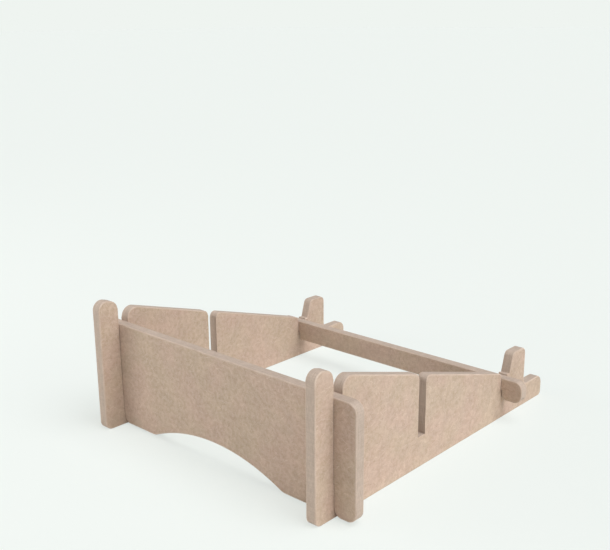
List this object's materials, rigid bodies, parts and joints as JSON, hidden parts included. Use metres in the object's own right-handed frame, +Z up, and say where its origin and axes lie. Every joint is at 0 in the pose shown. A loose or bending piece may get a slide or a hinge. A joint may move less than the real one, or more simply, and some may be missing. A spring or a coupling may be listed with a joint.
{
  "type": "laptop stand",
  "caption": "Slotted flat-pack laptop stand: sloped side panels with front stops, locked upright by rear and front cross panels.",
  "frame": {"origin": "on the table, under the middle of the stand's footprint", "axes": "+Z up, +Y from the user towards the rear of the stand, +X to the user's right"},
  "size_m": [0.29, 0.319, 0.1153],
  "materials": {
    "side_board": "raw medium-density fibreboard, matt, router-cut edges with eased arrises",
    "cross_board": "raw medium-density fibreboard, matt, router-cut edges with eased arrises"
  },
  "bodies": {
    "side_frame": {"side_panel_left": "side_board", "side_panel_right": "side_board"},
    "rear_cross": {"rear_cross_panel": "cross_board"},
    "front_cross": {"front_cross_panel": "cross_board"}
  },
  "joints": [
    {"name": "rear_panel_lift", "type": "slide", "parent": "side_frame", "child": "rear_cross", "axis": [0, 0, 1], "range_m": [0, 0.114]},
    {"name": "front_panel_lift", "type": "slide", "parent": "side_frame", "child": "front_cross", "axis": [0, 0, 1], "range_m": [0, 0.025]}
  ]
}
